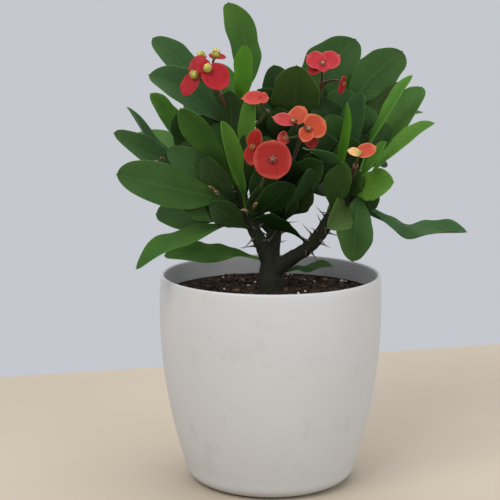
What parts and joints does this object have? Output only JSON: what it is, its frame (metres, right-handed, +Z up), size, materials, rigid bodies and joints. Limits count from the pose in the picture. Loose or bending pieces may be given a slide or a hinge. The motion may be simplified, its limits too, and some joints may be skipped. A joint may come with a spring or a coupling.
{
  "type": "potted euphorbia",
  "caption": "Crown-of-thorns euphorbia with spoon-shaped leaves, thorny branching stem and red flower heads, growing in a round white pot filled with soil.",
  "frame": {"origin": "centre of the pot's flat foot, on the surface that it stands on", "axes": "+Z up along the pot's axis, -Y towards the plant's best side, +X to the right seen from there"},
  "size_m": [0.2325, 0.1679, 0.3241],
  "materials": {
    "pot_white": "satin, moulded, off-white",
    "soil": "crumbly dark potting mix with bark chips and perlite",
    "bark": "rough grey-brown bark, greener on the young stalks",
    "leaf": "smooth, slightly waxy leaf, paler below",
    "bract": "soft satin bract, red to salmon, with a yellow-green cup"
  },
  "bodies": {
    "root": {"pot": "pot_white", "soil": "soil", "stem": "bark", "leaf_01": "leaf", "leaf_02": "leaf", "leaf_03": "leaf", "leaf_04": "leaf", "leaf_05": "leaf", "leaf_06": "leaf", "leaf_07": "leaf", "leaf_08": "leaf", "leaf_09": "leaf", "leaf_10": "leaf", "leaf_11": "leaf", "leaf_12": "leaf", "leaf_13": "leaf", "leaf_14": "leaf", "leaf_15": "leaf", "leaf_16": "leaf", "leaf_17": "leaf", "leaf_18": "leaf", "leaf_19": "leaf", "leaf_20": "leaf", "leaf_21": "leaf", "leaf_22": "leaf", "leaf_23": "leaf", "leaf_24": "leaf", "leaf_25": "leaf", "leaf_26": "leaf", "leaf_27": "leaf", "leaf_28": "leaf", "leaf_29": "leaf", "leaf_30": "leaf", "leaf_31": "leaf", "leaf_32": "leaf", "leaf_33": "leaf", "leaf_34": "leaf", "leaf_35": "leaf", "leaf_36": "leaf", "leaf_37": "leaf", "leaf_38": "leaf", "leaf_39": "leaf", "leaf_40": "leaf", "leaf_41": "leaf", "leaf_42": "leaf", "leaf_43": "leaf", "leaf_44": "leaf", "flower_01": "bract", "flower_02": "bract", "flower_03": "bract", "flower_04": "bract", "flower_05": "bract", "flower_06": "bract", "flower_07": "bract", "flower_08": "bract", "flower_09": "bract", "flower_10": "bract", "flower_11": "bract", "flower_12": "bract", "flower_13": "bract"}
  },
  "joints": []
}
